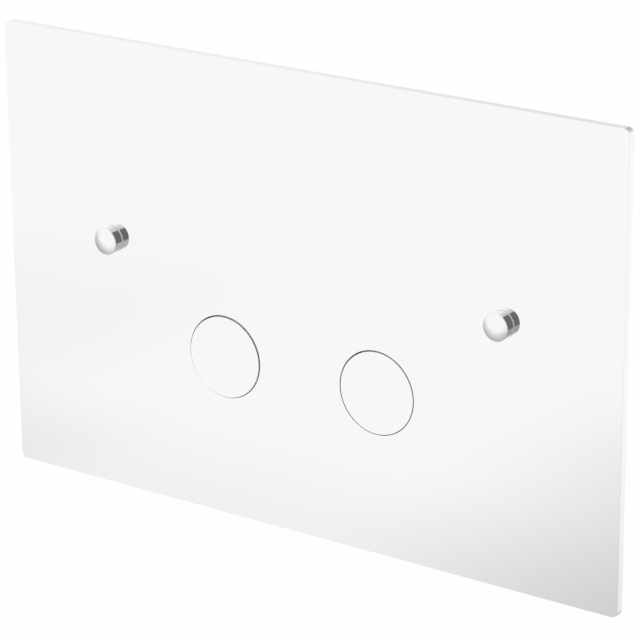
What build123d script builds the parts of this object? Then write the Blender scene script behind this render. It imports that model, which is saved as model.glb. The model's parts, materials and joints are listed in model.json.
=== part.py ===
from build123d import *
import os
from math import sqrt

# Flush button plate for a cistern inside a wall: a mirror-chrome plate with two sprung round
# buttons, the right one level with its face and the left one a little proud of it. Both sit a little
# low in their apertures, and each pushes a threaded rod towards the flush valve.
#
# X runs to the right, Y into the wall and Z up, in millimetres. The face looks towards -Y, the
# plate's rim lies on the wall at Y = 0, and the origin is the middle of the plate on the wall.

# Plate
plate_width = 235.0
plate_height = 154.0
plate_thickness = 2.7
plate_corner_radius = 2.1
plate_edge_radius = 0.03
rim_width = 3.0
recess_depth = 1.0
recess_corner_radius = 1.5

# Buttons, placed by their centres
button_spacing = 59.0
button_drop = 22.66
button_sag = 0.12
button_radius = 13.65
half_flush_proud = 0.31
button_edge_radius = 0.06
button_face_wall = 1.6
button_skirt_wall = 1.3
button_travel = 5.0
flange_overlap = 1.0
flange_thickness = 1.2

# Collars that carry the apertures back from the plate's skin
collar_reach = 6.0
collar_wall = 1.5
aperture_edge_radius = 0.06

# Plungers inside the buttons
plunger_head_thickness = 3.0
stem_radius = 4.0

# Carrier behind the plate, with a well and a guide bush for each button
carrier_wall = 2.5
well_wall = 1.5
well_floor = 2.0
well_end_room = 4.75
bush_wall = 2.0
bush_reach_in = 5.0
bush_reach_out = 3.0
gusset_thickness = 1.6
web_thickness = 2.0
web_offset = 9.0
carrier_ear = 5.0

# Carrier screws and the plate's bosses for them
screw_radius = 1.5
screw_head_radius = 2.8
screw_head_height = 1.9
screw_drive_width = 0.7
screw_drive_span = 3.2
screw_drive_depth = 1.1
boss_wall = 2.0
boss_floor = 1.2
boss_margin = 1.8

# Return springs
spring_radius = 8.6
spring_wire_radius = 0.45
spring_turns = 6

# Push rods, their lock nuts and tips
rod_radius = 2.5
rod_reach = 51.0
rod_engagement = 14.0
rod_chamfer = 0.5
nut_across_flats = 8.0
nut_thickness = 4.0
nut_chamfer = 0.6
nut_room = 2.0
tip_radius = 4.5
tip_engagement = 12.0
tip_end_wall = 3.0

# Fixings: double-ended studs with domed cap nuts on washers
fixing_spacing = 150.0
fixing_rise = 9.3
stud_radius = 2.0
stud_shank_radius = 1.75
stud_length = 60.0
stud_front_thread = 9.0
stud_rear_thread = 25.0
stud_chamfer = 0.4
fixing_boss_wall = 2.7
fixing_boss_reach = 3.0
washer_radius = 4.45
washer_thickness = 0.4
cap_radius = 4.5
cap_side_height = 3.45
cap_dome_height = 0.8
cap_rim_radius = 0.25
cap_base_chamfer = 0.05
cap_crown_wall = 0.5

# Clearances
button_gap = 0.35
stop_gap = 0.05
well_gap = 0.8
stem_gap = 0.06
thread_gap = 0.02
press_gap = 0.02
seat_gap = 0.02
hole_gap = 0.3
end_gap = 0.3

# Stations along Y, from the front to the back
front_y = -plate_thickness
recess_y = -recess_depth
collar_end_y = collar_reach
flange_front_y = collar_end_y + stop_gap
flange_back_y = flange_front_y + flange_thickness
button_inside_y = front_y + button_face_wall
head_back_y = button_inside_y + plunger_head_thickness
carrier_front_y = collar_end_y
carrier_back_y = carrier_front_y + carrier_wall
well_floor_y = flange_back_y + button_travel + well_end_room
well_back_y = well_floor_y + well_floor
bush_front_y = well_floor_y - bush_reach_in
bush_back_y = well_back_y + bush_reach_out
stem_end_y = bush_back_y + nut_room
rod_front_y = stem_end_y - rod_engagement
rod_end_y = stem_end_y + rod_reach
boss_floor_y = recess_y + boss_floor
cap_base_y = front_y - washer_thickness
cap_rim_y = front_y - cap_side_height
cap_bore_y = cap_rim_y + cap_crown_wall
stud_front_y = cap_bore_y + end_gap
stud_end_y = stud_front_y + stud_length

# Radii and offsets that follow from the fits
aperture_radius = button_radius + button_gap
collar_radius = aperture_radius + collar_wall
flange_radius = aperture_radius + flange_overlap
well_radius = flange_radius + well_gap
well_outer_radius = well_radius + well_wall
bush_radius = stem_radius + stem_gap
bush_outer_radius = bush_radius + bush_wall
pilot_radius = screw_radius + thread_gap
boss_radius = pilot_radius + boss_wall
fixing_hole_radius = stud_radius + hole_gap
fixing_boss_radius = fixing_hole_radius + fixing_boss_wall
screw_offset = (well_outer_radius + boss_radius + boss_margin) / sqrt(2)

button_places = {
    "half_flush": (-button_spacing / 2, -button_drop),
    "full_flush": (button_spacing / 2, -button_drop),
}
aperture_places = [(x, z + button_sag) for x, z in button_places.values()]
button_faces = {
    "half_flush": front_y - half_flush_proud,
    "full_flush": front_y,
}
fixing_places = {
    "left": (-fixing_spacing / 2, fixing_rise),
    "right": (fixing_spacing / 2, fixing_rise),
}
screw_places = {
    f"{row}_{side}": (sx * (button_spacing / 2 + screw_offset), sz * screw_offset - button_drop)
    for row, sz in (("upper", 1), ("lower", -1))
    for side, sx in (("left", -1), ("right", 1))
}


def turned(*points):
    """A solid turned about the Y axis from a closed outline of (radius, y) points."""
    return revolve(make_face(Polyline(*points, close=True)), Axis.Y)


def disc(radius, start, end, place=(0, 0)):
    """A plain cylinder along Y at an (x, z) place."""
    outline = ((0, start), (radius, start), (radius, end), (0, end))
    return Pos(place[0], 0, place[1]) * turned(*outline)


def slab(width, height, radius, start, end, place=(0, 0)):
    """A rounded rectangle, upright in X and Z, with its thickness along Y."""
    blank = extrude(RectangleRounded(width, height, radius), end - start)
    return Pos(place[0], start, place[1]) * Rot(-90, 0, 0) * blank


def bar(x_size, z_size, start, end, place=(0, 0)):
    """A square-edged block between two stations along Y."""
    return Pos(place[0], (start + end) / 2, place[1]) * Box(x_size, end - start, z_size)


def rims(solid, radius, y):
    """The round edges of one radius at one station."""
    circles = solid.edges().filter_by(GeomType.CIRCLE)
    return circles.filter_by(lambda e: abs(e.radius - radius) + abs(e.arc_center.Y - y) < 1e-4)


def face_plate():
    """The plated casting: a rimmed skin with collars, screw bosses and fixing bosses behind it."""
    plate = slab(plate_width, plate_height, plate_corner_radius, front_y, 0)
    plate = fillet(plate.faces().sort_by(Axis.Y)[0].edges(), plate_edge_radius)
    inner_width = plate_width - 2 * rim_width
    inner_height = plate_height - 2 * rim_width
    plate -= slab(inner_width, inner_height, recess_corner_radius, recess_y, 1)
    for place in aperture_places:
        plate += disc(collar_radius, recess_y, collar_end_y, place)
    for place in screw_places.values():
        plate += disc(boss_radius, recess_y, carrier_front_y, place)
    for place in fixing_places.values():
        plate += disc(fixing_boss_radius, recess_y, fixing_boss_reach, place)
    for place in aperture_places:
        plate -= disc(aperture_radius, front_y - 1, collar_end_y + 1, place)
    for place in screw_places.values():
        plate -= disc(pilot_radius, boss_floor_y, carrier_front_y + 1, place)
    for place in fixing_places.values():
        plate -= disc(fixing_hole_radius, front_y - 1, fixing_boss_reach + 1, place)
    return fillet(rims(plate, aperture_radius, front_y), aperture_edge_radius)


def button_cap(face_y):
    """A chrome cup with a flat face, and a flange that stops against the collar's end."""
    inner_radius = button_radius - button_skirt_wall
    cup = turned(
        (0, face_y),
        (button_radius, face_y),
        (button_radius, flange_front_y),
        (flange_radius, flange_front_y),
        (flange_radius, flange_back_y),
        (inner_radius, flange_back_y),
        (inner_radius, button_inside_y),
        (0, button_inside_y),
    )
    return fillet(rims(cup, button_radius, face_y), button_edge_radius)


def plunger():
    """The head pressed into the button cap, and the guide stem bored for the push rod."""
    head_radius = button_radius - button_skirt_wall - press_gap
    bore_radius = rod_radius + thread_gap
    bore_floor_y = rod_front_y - end_gap
    return turned(
        (0, button_inside_y),
        (head_radius, button_inside_y),
        (head_radius, head_back_y),
        (stem_radius, head_back_y),
        (stem_radius, stem_end_y),
        (bore_radius, stem_end_y),
        (bore_radius, bore_floor_y),
        (0, bore_floor_y),
    )


def return_spring():
    """A wire coil with ends ground flat, between the plunger's head and the well's floor."""
    start = head_back_y + seat_gap
    length = well_floor_y - seat_gap - start
    path = Helix(length / spring_turns, length, spring_radius)
    wire = Plane(path @ 0, z_dir=path % 0) * Circle(spring_wire_radius)
    coil = sweep(wire, path, is_frenet=True)
    span = 2 * (spring_radius + 2 * spring_wire_radius)
    coil &= Box(span, span, length, align=(Align.CENTER, Align.CENTER, Align.MIN))
    return Pos(0, start, 0) * Rot(-90, 0, 0) * coil


def push_rod():
    """The threaded rod from the plunger to its tip."""
    rod = disc(rod_radius, rod_front_y, rod_end_y)
    ends = rims(rod, rod_radius, rod_front_y) + rims(rod, rod_radius, rod_end_y)
    return chamfer(ends, rod_chamfer)


def lock_nut():
    """A hexagon nut run up against the stem's end, with its corners chamfered."""
    start = stem_end_y
    end = stem_end_y + nut_thickness
    bore_radius = rod_radius + thread_gap
    flat_radius = nut_across_flats / 2
    corner_radius = nut_across_flats / sqrt(3)
    hexagon = extrude(RegularPolygon(flat_radius, 6, major_radius=False), nut_thickness)
    crown = turned(
        (bore_radius, start),
        (flat_radius, start),
        (corner_radius, start + nut_chamfer),
        (corner_radius, end - nut_chamfer),
        (flat_radius, end),
        (bore_radius, end),
    )
    return Pos(0, start, 0) * Rot(-90, 0, 0) * hexagon & crown


def rod_tip():
    """The round-ended sleeve that presses on the flush valve."""
    start = rod_end_y - tip_engagement
    end = rod_end_y + tip_end_wall
    bore_radius = rod_radius + press_gap
    sleeve = turned(
        (bore_radius, start),
        (tip_radius, start),
        (tip_radius, end),
        (0, end),
        (0, rod_end_y),
        (bore_radius, rod_end_y),
    )
    return fillet(rims(sleeve, tip_radius, end), tip_end_wall * 0.8)


def button_carrier():
    """The moulding that holds both buttons: a flat flange, two wells and their guide bushes."""
    width = button_spacing + 2 * (screw_offset + carrier_ear)
    height = 2 * (screw_offset + carrier_ear)
    centre = (0, -button_drop)
    body = slab(width, height, carrier_ear, carrier_front_y, carrier_back_y, centre)
    for side in (-1, 1):
        web_place = (0, side * web_offset - button_drop)
        body += bar(button_spacing, web_thickness, carrier_front_y, well_back_y, web_place)
    for place in button_places.values():
        body += disc(well_outer_radius, carrier_front_y, well_back_y, place)
    for place in button_places.values():
        body -= disc(well_radius, carrier_front_y - 1, well_floor_y, place)
    for place in button_places.values():
        span = 2 * (bush_outer_radius + bush_reach_out)
        body += disc(bush_outer_radius, bush_front_y, bush_back_y, place)
        for x_size, z_size in ((span, gusset_thickness), (gusset_thickness, span)):
            gusset = bar(x_size, z_size, well_back_y, bush_back_y, place)
            body += chamfer(gusset.faces().sort_by(Axis.Y)[-1].edges(), gusset_thickness / 3)
        body -= disc(bush_radius, bush_front_y - 1, bush_back_y + 1, place)
    for place in screw_places.values():
        body -= disc(screw_radius + hole_gap, carrier_front_y - 1, carrier_back_y + 1, place)
    return body


def carrier_screw():
    """A thread-forming pan-head screw with a cross drive."""
    head_y = carrier_back_y + screw_head_height
    tip_y = boss_floor_y + end_gap
    screw = turned(
        (0, tip_y),
        (screw_radius, tip_y),
        (screw_radius, carrier_back_y),
        (screw_head_radius, carrier_back_y),
        (screw_head_radius, head_y),
        (0, head_y),
    )
    screw = fillet(rims(screw, screw_head_radius, head_y), screw_head_height / 2)
    drive_y = head_y - screw_drive_depth
    screw -= bar(screw_drive_span, screw_drive_width, drive_y, head_y + 1)
    screw -= bar(screw_drive_width, screw_drive_span, drive_y, head_y + 1)
    return screw


def fixing_cap():
    """A domed cap nut with a blind bore, chamfered where it meets the washer."""
    bore_radius = stud_radius + thread_gap
    rim = (cap_radius, cap_rim_y)
    crown = (0, cap_rim_y - cap_dome_height)
    outline = Polyline(
        crown,
        (0, cap_bore_y),
        (bore_radius, cap_bore_y),
        (bore_radius, cap_base_y),
        (cap_radius - cap_base_chamfer, cap_base_y),
        (cap_radius, cap_base_y - cap_base_chamfer),
        rim,
    )
    dome = TangentArc(crown, rim, tangent=(1, 0))
    cap = revolve(make_face([*outline.edges(), dome]), Axis.Y)
    return fillet(rims(cap, cap_radius, cap_rim_y), cap_rim_radius)


def fixing_washer():
    """A thin washer between the cap and the plate's face."""
    hole_radius = stud_radius + hole_gap
    return disc(washer_radius, cap_base_y, front_y) - disc(hole_radius, cap_base_y - 1, front_y + 1)


def fixing_stud():
    """A stud with a thread at each end and a thinner rolled shank between them."""
    shank_start_y = stud_front_y + stud_front_thread
    shank_end_y = stud_end_y - stud_rear_thread
    stud = turned(
        (0, stud_front_y),
        (stud_radius, stud_front_y),
        (stud_radius, shank_start_y),
        (stud_shank_radius, shank_start_y),
        (stud_shank_radius, shank_end_y),
        (stud_radius, shank_end_y),
        (stud_radius, stud_end_y),
        (0, stud_end_y),
    )
    ends = rims(stud, stud_radius, stud_front_y) + rims(stud, stud_radius, stud_end_y)
    return chamfer(ends, stud_chamfer)


def placed(pieces, places):
    """Named copies of each piece at each named place."""
    return {
        f"{where}_{what}": Pos(place[0], 0, place[1]) * piece
        for where, place in places.items()
        for what, piece in pieces.items()
    }


buttons = {
    f"{flush}_button": Pos(place[0], 0, place[1]) * button_cap(button_faces[flush])
    for flush, place in button_places.items()
}
button_pieces = {
    "plunger": plunger(),
    "spring": return_spring(),
    "push_rod": push_rod(),
    "lock_nut": lock_nut(),
    "rod_tip": rod_tip(),
}
fixing_pieces = {
    "fixing_cap": fixing_cap(),
    "fixing_washer": fixing_washer(),
    "fixing_stud": fixing_stud(),
}
nodes = {
    "face_plate": face_plate(),
    "button_carrier": button_carrier(),
    **buttons,
    **placed(button_pieces, button_places),
    **placed({"carrier_screw": carrier_screw()}, screw_places),
    **placed(fixing_pieces, fixing_places),
}

os.makedirs("parts", exist_ok=True)
for node, shape in nodes.items():
    export_step(shape, f"parts/{node}.step")
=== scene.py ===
import json
import math

import bmesh
import bpy
from mathutils import Matrix, Vector

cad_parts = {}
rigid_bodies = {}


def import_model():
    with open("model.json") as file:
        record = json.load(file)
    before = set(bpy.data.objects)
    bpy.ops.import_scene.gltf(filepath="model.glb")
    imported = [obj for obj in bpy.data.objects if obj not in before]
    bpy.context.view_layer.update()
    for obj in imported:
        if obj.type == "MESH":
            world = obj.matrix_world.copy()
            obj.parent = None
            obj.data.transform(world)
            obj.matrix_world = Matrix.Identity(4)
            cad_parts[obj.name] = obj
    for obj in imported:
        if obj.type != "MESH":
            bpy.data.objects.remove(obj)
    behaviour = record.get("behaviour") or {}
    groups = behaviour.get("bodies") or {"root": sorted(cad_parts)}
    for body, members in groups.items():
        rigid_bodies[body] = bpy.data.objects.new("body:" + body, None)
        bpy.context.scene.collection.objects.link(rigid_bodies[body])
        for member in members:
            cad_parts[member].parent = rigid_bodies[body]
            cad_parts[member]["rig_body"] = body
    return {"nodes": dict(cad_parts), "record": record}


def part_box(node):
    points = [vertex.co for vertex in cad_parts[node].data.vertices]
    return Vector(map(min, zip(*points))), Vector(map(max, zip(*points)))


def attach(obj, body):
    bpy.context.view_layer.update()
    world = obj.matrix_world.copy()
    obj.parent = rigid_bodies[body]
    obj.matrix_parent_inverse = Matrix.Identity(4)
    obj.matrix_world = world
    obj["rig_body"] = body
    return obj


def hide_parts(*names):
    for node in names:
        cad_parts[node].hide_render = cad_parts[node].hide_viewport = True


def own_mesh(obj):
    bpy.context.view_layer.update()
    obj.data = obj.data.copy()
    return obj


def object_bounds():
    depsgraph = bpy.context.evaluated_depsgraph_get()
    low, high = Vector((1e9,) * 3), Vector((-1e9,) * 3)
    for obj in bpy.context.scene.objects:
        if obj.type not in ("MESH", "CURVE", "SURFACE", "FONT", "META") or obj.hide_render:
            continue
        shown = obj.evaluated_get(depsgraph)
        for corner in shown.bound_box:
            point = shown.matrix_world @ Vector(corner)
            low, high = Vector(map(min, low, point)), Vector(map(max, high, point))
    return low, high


# Looks of a mirror-chrome flush button plate: finishes for its CAD nodes, rolled threads, return
# springs, and a plain white studio. Lengths are in metres, in the frame of the CAD model: +X right,
# +Y into the wall, +Z up.

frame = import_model()
cad_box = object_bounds()
nodes = frame["nodes"]
slot_colour = {row["slot"]: row["base_color"] for row in frame["record"]["materials"]}

MM = 0.001
WHITE = (1.0, 1.0, 1.0, 1.0)

# The photograph's camera, fitted to the plate's outline
PHOTO_SIDE_PX = 640
FOCAL_PX = 3129.0
SENSOR_WIDTH_MM = 36.0
CAMERA_AZIMUTH = 35.218
CAMERA_ELEVATION = 19.506
CAMERA_ROLL = -0.455
CAMERA_TARGET = Vector((6.22, 0.0, -3.66)) * MM
CAMERA_DISTANCE = 986.5 * MM

# The floor, and the share of its white that takes no shadow where the camera sees it
FLOOR_SIZE = 8.0
FLOOR_DROP = 0.3 * MM
FLOOR_ALBEDO = 0.9
FLOOR_PLAIN_WHITE = 0.96

# Painted shade on the floor that only mirrors show: it darkens to the right and to the left, more and
# more from AHEAD_START to
# AHEAD_END, and close to the plate as a painted contact shadow, most of all at its left corner
RIGHT_START = -8.0 * MM
RIGHT_END = 165.0 * MM
RIGHT_LOSS = 0.35
LEFT_START = -125.0 * MM
LEFT_END = -200.0 * MM
LEFT_LOSS = 0.045
AHEAD_START = -240.0 * MM
AHEAD_END = -110.0 * MM
CONTACT_REACH = 75.0 * MM
CONTACT_LOSS = 0.06
CORNER_START = -75.0 * MM
CORNER_END = -135.0 * MM
CORNER_LOSS = 0.06

# Light on the object: the world all round, and two large soft lamps
WORLD_LIGHT = 0.7
LAMPS = {
    "key_lamp": {"azimuth": -40.0, "elevation": 55.0, "distance": 1.6, "size": 1.2, "power": 8.5},
    "back_lamp": {"azimuth": 150.0, "elevation": 40.0, "distance": 1.6, "size": 1.2, "power": 5.0},
}

# What the metal mirrors: a grey studio that is white ahead of the plate, above it, behind it and to its
# left, and dark where the camera stands. Each part has its middle direction, and its brightness at a
# few angles from there, in degrees.
WHITE_AHEAD = {
    "azimuth": -26.0,
    "elevation": 0.0,
    "brightness": [(26, 1.0), (33, 0.88), (37, 0.77), (41, 0.69), (45, 0.61), (50, 0.5)],
}
WHITE_ABOVE = {
    "azimuth": -75.0,
    "elevation": 60.0,
    "brightness": [(30, 1.0), (40, 0.78), (47, 0.7), (54, 0.64), (65, 0.5)],
}
WHITE_BEHIND = {
    "azimuth": 155.0,
    "elevation": -5.0,
    "brightness": [(16.5, 1.0), (18.5, 0.955), (19.8, 0.88), (28, 0.7), (45, 0.5)],
}
WHITE_LEFT = {
    "azimuth": -110.0,
    "elevation": 10.0,
    "brightness": [(25, 0.92), (33.5, 0.905), (37, 0.83), (40, 0.8), (50, 0.5)],
}
DARK_CAMERA = {
    "azimuth": 37.0,
    "elevation": 14.0,
    "brightness": [(31.5, 0.31), (37, 1.0)],
}

# Where the polish of the chrome ends: behind the face in the gaps round the buttons, on the back, and
# in from the plate's edges
GAP_START = 0.04 * MM
GAP_END = 0.15 * MM
BACK_START = 1.3 * MM
BACK_END = 1.68 * MM
POLISHED_BORDER = 1.5 * MM

# The stretch of a noise's values that a finish spreads out: on most, on cast metal and in bloom
NOISE_ENDS = (0.3, 0.7)
CAST_ENDS = (0.25, 0.75)
BLOOM_ENDS = (0.45, 0.75)

# Metric threads: pitch, depth from crest to root, chamfered ends, and the stud's thinner shank. The
# profile gives shares of the pitch, and of the depth from the root.
THREAD_PROFILE = [(0.0, 0.0), (0.375, 1.0), (0.5, 1.0), (0.875, 0.0), (1.0, 0.0)]
THREAD_SEGMENTS = 36
ROD_PITCH = 0.8 * MM
ROD_THREAD_DEPTH = 0.47 * MM
ROD_CHAMFER = 0.5 * MM
STUD_PITCH = 0.7 * MM
STUD_THREAD_DEPTH = 0.38 * MM
STUD_CHAMFER = 0.4 * MM
STUD_SHANK_RADIUS = 1.75 * MM
STUD_FRONT_THREAD = 9.0 * MM
STUD_REAR_THREAD = 25.0 * MM

# Return springs: the part of a turn that lies flat at each end, and how far in from the ground end the
# middle of its wire lies
SPRING_WIRE_RADIUS = 0.45 * MM
SPRING_TURNS = 6
SPRING_END_TURN = 0.7
SPRING_END_INSET = 0.225 * MM
SPRING_SEGMENTS = 48
SPRING_WIRE_SIDES = 14

# Points of a mesh that are nearer than this become one
WELD_DISTANCE = 0.002 * MM


def clamp(value, least, most):
    return min(max(value, least), most)


def direction(azimuth, elevation):
    """The unit vector from the object towards a place given in degrees, as seen from the front."""
    a = math.radians(azimuth)
    e = math.radians(elevation)
    return Vector((math.sin(a) * math.cos(e), -math.cos(a) * math.cos(e), math.sin(e)))


def shade(colour, factor):
    """A colour made darker or lighter, with an alpha of 1."""
    return (*(channel * factor for channel in colour[:3]), 1.0)


class Graph:
    """A node tree whose nodes are added by one call each."""

    def __init__(self, tree):
        self.tree = tree
        tree.nodes.clear()

    def node(self, kind, inputs=None, **settings):
        """A new node. Each of its inputs gets a value, or a link where a socket is given."""
        made = self.tree.nodes.new(kind)
        for name, value in settings.items():
            setattr(made, name, value)
        for socket, value in (inputs or {}).items():
            if isinstance(value, bpy.types.NodeSocket):
                self.tree.links.new(value, made.inputs[socket])
            else:
                made.inputs[socket].default_value = value
        return made

    def math(self, operation, *values):
        return self.node("ShaderNodeMath", dict(enumerate(values)), operation=operation).outputs[0]

    def place(self):
        """The x, y and z of a point in the frame of the CAD model."""
        place = self.node("ShaderNodeTexCoord").outputs["Object"]
        return self.node("ShaderNodeSeparateXYZ", {"Vector": place}).outputs

    def ray(self, kind):
        """1 on rays of one kind, such as Camera or Glossy, and 0 on others."""
        return self.node("ShaderNodeLightPath").outputs[f"Is {kind} Ray"]

    def seen(self):
        """1 where the camera sees something, straight or through a clear thing, and 0 on other rays."""
        return self.math("MAXIMUM", self.ray("Camera"), self.ray("Transmission"))

    def span(self, value, low, high, to_low=0.0, to_high=1.0):
        """The value's stretch from low to high, eased and spread from to_low to to_high."""
        ends = {"Value": value, "From Min": low, "From Max": high, "To Min": to_low, "To Max": to_high}
        return self.node("ShaderNodeMapRange", ends, interpolation_type="SMOOTHSTEP").outputs[0]

    def noise(self, per_metre, detail=3.0, stretch=(1.0, 1.0, 1.0)):
        """Noise with so many features per metre, longer along axes whose stretch is below 1."""
        place = self.node("ShaderNodeTexCoord").outputs["Object"]
        place = self.node("ShaderNodeMapping", {"Vector": place, "Scale": stretch}).outputs[0]
        found = self.node("ShaderNodeTexNoise", {"Vector": place, "Scale": per_metre, "Detail": detail})
        return found.outputs["Fac"]

    def spread(self, noise, least, most, ends=NOISE_ENDS):
        """A noise's values between two ends, spread from least to most."""
        return self.span(noise, *ends, least, most)

    def relief(self, texture, height, strength=1.0, over=None):
        """The surface direction on a texture's relief, which may lie over another relief."""
        values = {"Height": texture, "Distance": height, "Strength": strength}
        if over is not None:
            values["Normal"] = over
        return self.node("ShaderNodeBump", values).outputs["Normal"]

    def mixed_colour(self, factor, first, second):
        made = self.node("ShaderNodeMix", {0: factor, 6: first, 7: second}, data_type="RGBA")
        return made.outputs[2]

    def mixed_value(self, factor, first, second):
        made = self.node("ShaderNodeMix", {0: factor, 2: first, 3: second}, data_type="FLOAT")
        return made.outputs[0]

    def mixed_shader(self, factor, first, second):
        return self.node("ShaderNodeMixShader", {0: factor, 1: first.outputs[0], 2: second.outputs[0]})

    def shades(self, factor, colour, darkest, lightest):
        """A colour that varies between two shades of itself."""
        return self.mixed_colour(factor, shade(colour, darkest), shade(colour, lightest))

    def show(self, shader):
        """Makes a shader the surface of the material."""
        self.node("ShaderNodeOutputMaterial", {"Surface": shader.outputs[0]})

    def principled(self, values):
        self.show(self.node("ShaderNodeBsdfPrincipled", values))


def material(name):
    made = bpy.data.materials.new(name)
    made.use_nodes = True
    return made, Graph(made.node_tree)


def mirror_chrome(name, face):
    """Polished on the face, whose y is given, and on edges, matt in the gaps, satin on the cast back."""
    made, g = material(name)
    colour = slot_colour["mirror_chrome"]
    x, y, z = g.place()
    depth = g.math("SUBTRACT", y, face)
    gap = g.span(depth, GAP_START, GAP_END)
    back = g.span(depth, BACK_START, BACK_END)
    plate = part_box("face_plate")[1]
    for across, edge in ((x, plate.x), (z, plate.z)):
        within = g.math("LESS_THAN", g.math("ABSOLUTE", across), edge - POLISHED_BORDER)
        gap = g.math("MULTIPLY", gap, within)
        back = g.math("MULTIPLY", back, within)
    cast = g.noise(per_metre=900.0, detail=5.0)
    cast_colour = g.shades(cast, colour, darkest=0.60, lightest=0.74)
    haze = g.spread(g.noise(per_metre=35.0), least=0.02, most=0.045)
    matt = g.spread(cast, least=0.70, most=0.80, ends=CAST_ENDS)
    satin = g.spread(cast, least=0.26, most=0.40, ends=CAST_ENDS)
    ripple = g.relief(g.noise(per_metre=110.0, detail=1.0), height=0.004 * MM)
    g.principled({
        "Base Color": g.mixed_colour(back, shade(colour, 1.0), cast_colour),
        "Metallic": 1.0,
        "Roughness": g.mixed_value(back, g.mixed_value(gap, haze, matt), satin),
        "Normal": g.relief(cast, height=0.02 * MM, strength=back, over=ripple),
    })
    return made


def carrier_plastic():
    """Dark moulded plastic with a fine spark-eroded texture and faint flow clouds."""
    made, g = material("carrier_plastic")
    clouds = g.noise(per_metre=70.0)
    grain = g.noise(per_metre=4200.0, detail=2.0)
    g.principled({
        "Base Color": g.shades(clouds, slot_colour["carrier_plastic"], darkest=0.86, lightest=1.16),
        "Roughness": g.spread(grain, least=0.44, most=0.60),
        "Normal": g.relief(grain, height=0.03 * MM, strength=0.7),
        "Specular IOR Level": 0.45,
    })
    return made


def moulded_white(slot, roughness):
    """Pale engineering plastic with soft flow clouds, a satin skin and a little light inside."""
    made, g = material(slot)
    clouds = g.noise(per_metre=160.0)
    skin = g.noise(per_metre=2600.0, detail=2.0)
    g.principled({
        "Base Color": g.shades(clouds, slot_colour[slot], darkest=0.95, lightest=1.03),
        "Roughness": g.spread(skin, *roughness),
        "Normal": g.relief(skin, height=0.008 * MM, strength=0.6),
        "Subsurface Weight": 0.12,
        "Subsurface Radius": (0.6, 0.55, 0.5),
        "Subsurface Scale": 1.0 * MM,
    })
    return made


def drawn_steel(slot, roughness, marks_per_metre):
    """Steel with fine marks drawn out along Y and a slightly uneven brightness."""
    made, g = material(slot)
    clouds = g.noise(per_metre=300.0)
    marks = g.noise(marks_per_metre, detail=4.0, stretch=(1.0, 0.06, 1.0))
    g.principled({
        "Base Color": g.shades(clouds, slot_colour[slot], darkest=0.88, lightest=1.08),
        "Metallic": 1.0,
        "Roughness": g.spread(marks, *roughness),
        "Normal": g.relief(marks, height=0.006 * MM, strength=0.7),
    })
    return made


def turned_brass():
    """Machined brass with the rings that a facing tool leaves."""
    made, g = material("brass")
    place = g.node("ShaderNodeTexCoord").outputs["Generated"]
    from_middle = g.node("ShaderNodeMapping", {"Vector": place, "Location": (-0.5, -0.5, -0.5)})
    rings = g.node(
        "ShaderNodeTexWave",
        {"Vector": from_middle.outputs[0], "Scale": 14.0, "Distortion": 0.6, "Detail": 2.0},
        wave_type="RINGS",
        rings_direction="Y",
    )
    clouds = g.noise(per_metre=420.0)
    g.principled({
        "Base Color": g.shades(clouds, slot_colour["brass"], darkest=0.86, lightest=1.1),
        "Metallic": 1.0,
        "Roughness": g.spread(clouds, least=0.24, most=0.38),
        "Normal": g.relief(rings.outputs["Fac"], height=0.01 * MM, strength=0.6),
    })
    return made


def moulded_rubber():
    """Matt black rubber with a fine skin and a trace of pale bloom."""
    made, g = material("tip_rubber")
    skin = g.noise(per_metre=3200.0)
    bloom = g.span(g.noise(per_metre=240.0, detail=4.0), *BLOOM_ENDS)
    g.principled({
        "Base Color": g.shades(bloom, slot_colour["tip_rubber"], darkest=1.0, lightest=1.7),
        "Roughness": g.spread(skin, least=0.62, most=0.82),
        "Normal": g.relief(skin, height=0.03 * MM, strength=0.6),
        "Sheen Weight": 0.08,
    })
    return made


def make_materials():
    """One finish for each material slot of the record, in the slot's own colour."""
    return {
        "mirror_chrome": mirror_chrome("mirror_chrome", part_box("face_plate")[0].y),
        "carrier_plastic": carrier_plastic(),
        "white_acetal": moulded_white("white_acetal", roughness=(0.30, 0.42)),
        "washer_nylon": moulded_white("washer_nylon", roughness=(0.36, 0.48)),
        "spring_steel": drawn_steel("spring_steel", roughness=(0.24, 0.40), marks_per_metre=5200.0),
        "bright_steel": drawn_steel("bright_steel", roughness=(0.20, 0.36), marks_per_metre=3000.0),
        "brass": turned_brass(),
        "tip_rubber": moulded_rubber(),
    }


def round_node(node):
    """The (x, z) place of a round node's axis, its radius, and its two ends along Y."""
    low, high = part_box(node)
    axis = ((low.x + high.x) / 2, (low.z + high.z) / 2)
    return axis, (high.x - low.x) / 2, low.y, high.y


def round_point(angle, radius, y, axis):
    """A point about an axis along Y, which stands at an (x, z) place."""
    return (axis[0] + radius * math.cos(angle), y, axis[1] + radius * math.sin(angle))


def tube_faces(bm, rings):
    """The wall between each closed ring of vertices and the next one."""
    for ring, following in zip(rings, rings[1:]):
        for k in range(len(ring)):
            other = (k + 1) % len(ring)
            bm.faces.new((ring[k], ring[other], following[other], following[k]))


def thread_grid(bm, axis, start, end, pitch, crest, depth, limits):
    """One helical thread along Y. limits gives the least and greatest radius at a station."""
    turns = math.ceil((end - start) / pitch) + 1
    rows = []
    for step in range(-THREAD_SEGMENTS, turns * THREAD_SEGMENTS + 1):
        turn = step / THREAD_SEGMENTS
        row = []
        for along, height in THREAD_PROFILE:
            y = clamp(start + pitch * (turn + along), start, end)
            radius = clamp(crest - depth * (1.0 - height), *limits(y))
            row.append(bm.verts.new(round_point(math.tau * turn, radius, y, axis)))
        rows.append(row)
    for row, following in zip(rows, rows[1:]):
        for k in range(len(row) - 1):
            bm.faces.new((row[k], row[k + 1], following[k + 1], following[k]))


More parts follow.
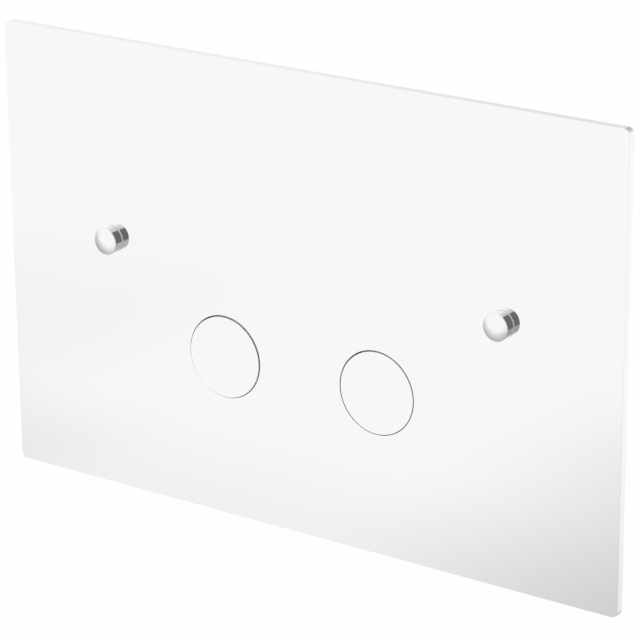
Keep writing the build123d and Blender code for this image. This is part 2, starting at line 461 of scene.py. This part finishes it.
def plain_shank(bm, axis, start, end, radius):
    """An open tube wall between two stations along Y."""
    angles = [math.tau * step / THREAD_SEGMENTS for step in range(THREAD_SEGMENTS)]
    rings = [[bm.verts.new(round_point(a, radius, y, axis)) for a in angles] for y in (start, end)]
    tube_faces(bm, rings)


def closed_mesh(name, bm):
    """Welds a surface, closes its open ends, turns its faces outward and keeps it as a mesh."""
    bmesh.ops.remove_doubles(bm, verts=bm.verts, dist=WELD_DISTANCE)
    bmesh.ops.dissolve_degenerate(bm, edges=bm.edges, dist=WELD_DISTANCE)
    bmesh.ops.holes_fill(bm, edges=[e for e in bm.edges if e.is_boundary], sides=0)
    bmesh.ops.recalc_face_normals(bm, faces=bm.faces)
    mesh = bpy.data.meshes.new(name)
    bm.to_mesh(mesh)
    bm.free()
    return mesh


def add_object(name, data):
    """A new object in the scene."""
    made = bpy.data.objects.new(name, data)
    bpy.context.scene.collection.objects.link(made)
    return made


def stand_in(mesh, node, slot, finishes):
    """A piece that is shown for a CAD node, with the node's finish and on the node's body."""
    made = add_object(mesh.name, mesh)
    mesh.materials.append(finishes[slot])
    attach(made, nodes[node]["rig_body"])
    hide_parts(node)
    return made


def threaded_rod(node, finishes):
    """A push rod with a rolled thread along its whole length."""
    axis, crest, start, end = round_node(node)

    def limits(y):
        room = min(y - start, end - y)
        return 0.0, crest - max(ROD_CHAMFER - room, 0.0)

    bm = bmesh.new()
    thread_grid(bm, axis, start, end, ROD_PITCH, crest, ROD_THREAD_DEPTH, limits)
    stand_in(closed_mesh(f"{node}_threaded", bm), node, "bright_steel", finishes)


def threaded_stud(node, finishes):
    """A fixing stud with a rolled thread at each end that runs out into a thinner shank."""
    axis, crest, start, end = round_node(node)
    shank_start = start + STUD_FRONT_THREAD
    shank_end = end - STUD_REAR_THREAD

    def limits(y):
        room = min(y - start, end - y)
        chamfered = crest - max(STUD_CHAMFER - room, 0.0)
        turns_from_shank = min(abs(y - shank_start), abs(y - shank_end)) / STUD_PITCH
        play = min(turns_from_shank, 1.0) * STUD_THREAD_DEPTH
        return min(STUD_SHANK_RADIUS - play, chamfered), min(STUD_SHANK_RADIUS + play, chamfered)

    bm = bmesh.new()
    thread_grid(bm, axis, start, shank_start, STUD_PITCH, crest, STUD_THREAD_DEPTH, limits)
    plain_shank(bm, axis, shank_start, shank_end, STUD_SHANK_RADIUS)
    thread_grid(bm, axis, shank_end, end, STUD_PITCH, crest, STUD_THREAD_DEPTH, limits)
    stand_in(closed_mesh(f"{node}_threaded", bm), node, "bright_steel", finishes)


def coil_spring(node, finishes):
    """A return spring with close end turns ground flat."""
    axis, outer_radius, start, end = round_node(node)
    coil_radius = outer_radius - SPRING_WIRE_RADIUS
    rising_turns = SPRING_TURNS - 2 * SPRING_END_TURN
    rise = end - start - 2 * SPRING_END_INSET
    bm = bmesh.new()
    rings = []
    for step in range(SPRING_TURNS * SPRING_SEGMENTS + 1):
        turn = step / SPRING_SEGMENTS
        share = clamp((turn - SPRING_END_TURN) / rising_turns, 0.0, 1.0)
        wire_y = start + SPRING_END_INSET + share * rise
        ring = []
        for side in range(SPRING_WIRE_SIDES):
            around = math.tau * side / SPRING_WIRE_SIDES
            radius = coil_radius + SPRING_WIRE_RADIUS * math.cos(around)
            y = clamp(wire_y + SPRING_WIRE_RADIUS * math.sin(around), start, end)
            ring.append(bm.verts.new(round_point(math.tau * turn, radius, y, axis)))
        rings.append(ring)
    tube_faces(bm, rings)
    made = stand_in(closed_mesh(f"{node}_coil", bm), node, "spring_steel", finishes)
    for polygon in made.data.polygons:
        polygon.use_smooth = True
    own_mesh(made)


def dress_object():
    """Finishes on every CAD node, and the finer pieces that stand for rods, studs and springs."""
    finishes = make_materials()
    for subpart in frame["record"]["subparts"]:
        nodes[subpart["node"]].material_slots[0].material = finishes[subpart["material_slot"]]
    for flush in ("half_flush", "full_flush"):
        # A button's polish is measured from its own face, which need not be level with the plate's
        button = f"{flush}_button"
        chrome = mirror_chrome(f"{button}_chrome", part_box(button)[0].y)
        nodes[button].material_slots[0].material = chrome
        threaded_rod(f"{flush}_push_rod", finishes)
        coil_spring(f"{flush}_spring", finishes)
    for side in ("left", "right"):
        threaded_stud(f"{side}_fixing_stud", finishes)


def studio_part(g, azimuth, elevation, brightness):
    """A part of the studio: its brightness by the angle from its middle direction."""
    sight = g.node("ShaderNodeTexCoord").outputs["Generated"]
    middle = direction(azimuth, elevation)
    cosine = g.node("ShaderNodeVectorMath", {0: sight, 1: middle}, operation="DOT_PRODUCT")
    half_turns = g.math("DIVIDE", g.math("ARCCOSINE", cosine.outputs["Value"]), math.pi)
    ramp = g.node("ShaderNodeValToRGB", {"Fac": half_turns})
    stops = ramp.color_ramp.elements
    while len(stops) < len(brightness):
        stops.new(1.0)
    for stop, (degrees, level) in zip(stops, brightness):
        stop.position = degrees / 180.0
        stop.color = shade(WHITE, level)
    return ramp.outputs["Color"]


def mirrored_studio(g):
    """The brightness of the studio by direction, as the metal mirrors it."""
    white = studio_part(g, **WHITE_AHEAD)
    for part in (WHITE_ABOVE, WHITE_BEHIND, WHITE_LEFT):
        white = g.math("MAXIMUM", white, studio_part(g, **part))
    return g.math("MULTIPLY", white, studio_part(g, **DARK_CAMERA))


def make_world():
    """White where the camera sees it, the dimmed studio in mirrors, and an even light elsewhere."""
    world = bpy.data.worlds.new("studio")
    world.use_nodes = True
    g = Graph(world.node_tree)
    light = g.node("ShaderNodeBackground", {"Color": WHITE, "Strength": WORLD_LIGHT})
    mirrored = g.node("ShaderNodeBackground", {"Color": mirrored_studio(g), "Strength": 1.0})
    white = g.node("ShaderNodeBackground", {"Color": WHITE, "Strength": 1.0})
    shown = g.mixed_shader(g.ray("Glossy"), light, mirrored)
    shown = g.mixed_shader(g.seen(), shown, white)
    g.node("ShaderNodeOutputWorld", {"Surface": shown.outputs[0]})
    bpy.context.scene.world = world


def level_sheet(name, low, high, height, finish):
    """A flat rectangle of the stage between two (x, y) corners."""
    corners = [(low[0], low[1]), (high[0], low[1]), (high[0], high[1]), (low[0], high[1])]
    mesh = bpy.data.meshes.new(name)
    mesh.from_pydata([(x, y, height) for x, y in corners], [], [(0, 1, 2, 3)])
    mesh.materials.append(finish)
    sheet = add_object(name, mesh)
    return sheet


def floor_white():
    """White paint that takes a faint shadow where the camera sees it."""
    made, g = material("floor_white")
    plain = g.math("MULTIPLY", g.seen(), FLOOR_PLAIN_WHITE)
    paint = g.node("ShaderNodeBsdfDiffuse", {"Color": shade(WHITE, FLOOR_ALBEDO)})
    white = g.node("ShaderNodeEmission", {"Color": WHITE, "Strength": 1.0})
    g.show(g.mixed_shader(plain, paint, white))
    return made


def floor_shade(front):
    """A clear grey sheet of painted shade that only mirrors show, deepening to both sides and towards
    the plate's front.
    """
    made, g = material("floor_shade")
    x, y, _ = g.place()
    right = g.span(x, RIGHT_START, RIGHT_END, 0.0, RIGHT_LOSS)
    left = g.span(x, LEFT_START, LEFT_END, 0.0, LEFT_LOSS)
    sides = g.math("MULTIPLY", g.math("ADD", right, left), g.span(y, AHEAD_START, AHEAD_END))
    corner = g.span(x, CORNER_START, CORNER_END, CONTACT_LOSS, CONTACT_LOSS + CORNER_LOSS)
    contact = g.math("MULTIPLY", g.span(y, front - CONTACT_REACH, front), corner)
    # The painted shade: a grey filter on whatever the mirrors see through the sheet
    painted_shade = g.math("MULTIPLY", g.math("SUBTRACT", 1.0, sides), g.math("SUBTRACT", 1.0, contact))
    g.show(g.node("ShaderNodeBsdfTransparent", {"Color": painted_shade}))
    return made


def make_floor():
    """A white floor under the plate, and the shade on it that only mirrors show."""
    half = FLOOR_SIZE / 2
    level = cad_box[0].z - FLOOR_DROP
    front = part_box("face_plate")[0].y
    floor = level_sheet("floor", (-half, -half), (half, half), level, floor_white())
    floor.visible_glossy = False
    # A sheet of painted shade on the floor, seen only in mirrors
    shaded = level_sheet("floor_shade", (-half, -half), (half, front), level, floor_shade(front))
    shaded.visible_camera = False
    shaded.visible_diffuse = False
    shaded.visible_transmission = False
    shaded.visible_shadow = False


def make_lamps():
    """Large soft lamps that face the middle of the plate and stay out of its mirror."""
    for name, place in LAMPS.items():
        data = bpy.data.lights.new(name, "AREA")
        data.shape = "DISK"
        data.size = place["size"]
        data.energy = place["power"]
        lamp = add_object(name, data)
        towards = direction(place["azimuth"], place["elevation"])
        lamp.location = towards * place["distance"]
        lamp.rotation_euler = towards.to_track_quat("Z", "Y").to_euler()
        lamp.visible_glossy = False


def make_camera():
    """The photograph's viewpoint, with its small roll."""
    data = bpy.data.cameras.new("camera")
    data.sensor_width = SENSOR_WIDTH_MM
    data.lens = FOCAL_PX / PHOTO_SIDE_PX * SENSOR_WIDTH_MM
    camera = add_object("camera", data)
    back = direction(CAMERA_AZIMUTH, CAMERA_ELEVATION)
    level_right = Vector((0, 0, 1)).cross(back).normalized()
    roll = Matrix.Rotation(math.radians(CAMERA_ROLL), 3, back)
    right = roll @ level_right
    up = back.cross(right)
    turned = Matrix((right, up, back)).transposed().to_4x4()
    camera.matrix_world = Matrix.Translation(CAMERA_TARGET + back * CAMERA_DISTANCE) @ turned
    bpy.context.scene.camera = camera


dress_object()
make_world()
make_floor()
make_lamps()
make_camera()
bpy.context.scene.view_settings.view_transform = "Standard"
